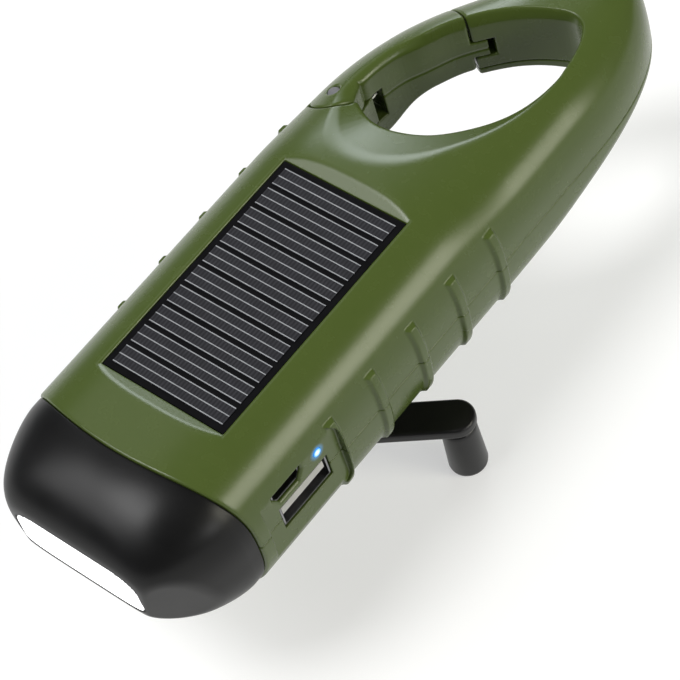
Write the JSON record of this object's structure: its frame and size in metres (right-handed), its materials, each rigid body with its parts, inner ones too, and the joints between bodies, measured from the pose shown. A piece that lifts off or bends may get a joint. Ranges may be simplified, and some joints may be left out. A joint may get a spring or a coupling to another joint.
{
  "type": "hand crank flashlight",
  "caption": "Pocket hand crank flashlight with a solar panel, side power ports, black lamp head, folding crank on its back and a sprung carabiner ring.",
  "frame": {"origin": "centre of the carabiner ring's eye on the parting plane of the housing", "axes": "+X towards the side with the ports, +Y along the housing towards the ring's tip, +Z out of the solar panel; the beam leaves along -Y"},
  "size_m": [0.0582, 0.1561, 0.0545],
  "materials": {
    "olive_plastic": "satin",
    "black_plastic": "satin",
    "clear_lens": "clear",
    "bright_reflector": "polished",
    "board": "matte",
    "led": "gloss",
    "panel_black": "gloss",
    "cell": "gloss",
    "steel": "brushed",
    "port_insert": "matte",
    "blue_light": "gloss",
    "battery_wrap": "satin",
    "foam": "matte",
    "nylon": "satin",
    "brass": "satin"
  },
  "bodies": {
    "housing": {"top_shell": "olive_plastic", "bottom_shell": "olive_plastic", "head_bezel": "black_plastic", "lens": "clear_lens", "reflector": "bright_reflector", "led_board": "board", "leds": "led", "solar_panel": "panel_black", "solar_cells": "cell", "main_board": "board", "board_screws": "steel", "usb_a_shell": "steel", "usb_a_tongue": "port_insert", "micro_usb_shell": "steel", "micro_usb_tongue": "black_plastic", "indicator_light": "blue_light", "tact_switch": "black_plastic", "battery": "battery_wrap", "battery_pad": "foam", "generator": "steel", "gear_plate": "steel", "plate_screws": "steel", "gear_pins": "steel", "crank_bush": "brass", "gate_pin": "steel", "gate_spring": "steel", "case_screws": "steel"},
    "crank": {"crank_hub": "black_plastic", "crank_gear": "nylon", "hub_washer": "steel", "hub_screw": "steel", "crank_hinge_pin": "steel"},
    "arm": {"crank_arm": "black_plastic", "knob_axle": "steel"},
    "knob": {"crank_knob": "black_plastic"},
    "idler_1": {"idler_gear_1": "nylon"},
    "idler_2": {"idler_gear_2": "nylon"},
    "rotor": {"generator_pinion": "brass"},
    "gate": {"gate": "olive_plastic"},
    "button": {"button_cap": "black_plastic"}
  },
  "joints": [
    {"name": "crank_spin", "type": "hinge", "parent": "housing", "child": "crank", "pos_m": [0, -0.0698, -0.015], "axis": [0, 0, 1], "continuous": true},
    {"name": "crank_fold", "type": "hinge", "parent": "crank", "child": "arm", "pos_m": [0, -0.0698, -0.0192], "axis": [-0.5807, 0.8141, 0], "range_deg": [0, 150]},
    {"name": "knob_spin", "type": "hinge", "parent": "arm", "child": "knob", "pos_m": [0.02752, -0.05017, -0.029], "axis": [0, 0, 1], "continuous": true},
    {"name": "idler_1_spin", "type": "hinge", "parent": "housing", "child": "idler_1", "pos_m": [-0.00554, -0.08502, -0.009], "axis": [0, 0, 1], "continuous": true},
    {"name": "idler_2_spin", "type": "hinge", "parent": "housing", "child": "idler_2", "pos_m": [0.00886, -0.08502, -0.006], "axis": [0, 0, 1], "continuous": true},
    {"name": "rotor_spin", "type": "hinge", "parent": "housing", "child": "rotor", "pos_m": [0.00166, -0.07255, -0.004], "axis": [0, 0, 1], "continuous": true},
    {"name": "gate_hinge", "type": "hinge", "parent": "housing", "child": "gate", "pos_m": [-0.0194, -0.018, 0.005], "axis": [0, 0, 1], "range_deg": [-28, 0], "stiffness_Nm_per_rad": 0.02, "springref_deg": 5.73, "deforming": ["gate_spring"]},
    {"name": "power_button", "type": "slide", "parent": "housing", "child": "button", "axis": [1, 0, 0], "range_m": [0, 0.0008], "stiffness_N_per_m": 800}
  ],
  "couplings": [
    {"joint": "idler_1_spin", "follows": "crank_spin", "ratio": -3.5},
    {"joint": "idler_2_spin", "follows": "crank_spin", "ratio": 10.5},
    {"joint": "rotor_spin", "follows": "crank_spin", "ratio": -31.5}
  ]
}
